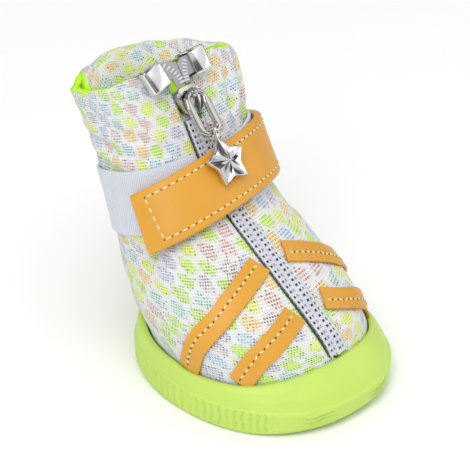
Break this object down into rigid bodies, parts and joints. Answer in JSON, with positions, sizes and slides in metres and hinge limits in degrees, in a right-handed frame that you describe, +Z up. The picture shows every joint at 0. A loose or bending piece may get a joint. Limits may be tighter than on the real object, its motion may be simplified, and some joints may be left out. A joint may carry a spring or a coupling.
{
  "type": "dog boot",
  "caption": "Small dog boot with a moulded cup sole, a mesh upper with a front zip, a hook-and-loop ankle strap and a star charm on the zip pull.",
  "frame": {"origin": "middle of the sole's length and width, on the floor plane under the tread", "axes": "+X to the toe, +Y to the boot's left side, +Z up, away from the floor"},
  "size_m": [0.0815, 0.0562, 0.076],
  "materials": {
    "lime_rubber": "satin",
    "lime_lining": "matte",
    "mesh_fabric": "matte",
    "pale_band": "satin",
    "orange_leather": "smooth",
    "zip_coil": "satin",
    "chrome": "polished"
  },
  "bodies": {
    "boot": {"outsole": "lime_rubber", "insole": "lime_lining", "upper": "mesh_fabric", "loop_band": "pale_band", "strap": "orange_leather", "stripe_rear_left": "orange_leather", "stripe_rear_right": "orange_leather", "stripe_front_left": "orange_leather", "stripe_front_right": "orange_leather", "zip_tape": "lime_lining", "zip_chain": "zip_coil", "zip_slider": "chrome", "zip_end_left": "zip_coil", "zip_end_right": "zip_coil", "zip_clamp_left": "chrome", "zip_clamp_right": "chrome"},
    "pull": {"zip_pull": "chrome"},
    "charm": {"star_charm": "chrome"}
  },
  "joints": [
    {"name": "pull_hinge", "type": "hinge", "parent": "boot", "child": "pull", "pos_m": [-0.01998, -0.002, 0.06753], "axis": [0, -1, 0], "range_deg": [0, 95]},
    {"name": "charm_hinge", "type": "hinge", "parent": "pull", "child": "charm", "pos_m": [-0.0136, -0.002, 0.05932], "axis": [0, -1, 0], "range_deg": [0, 80]}
  ]
}
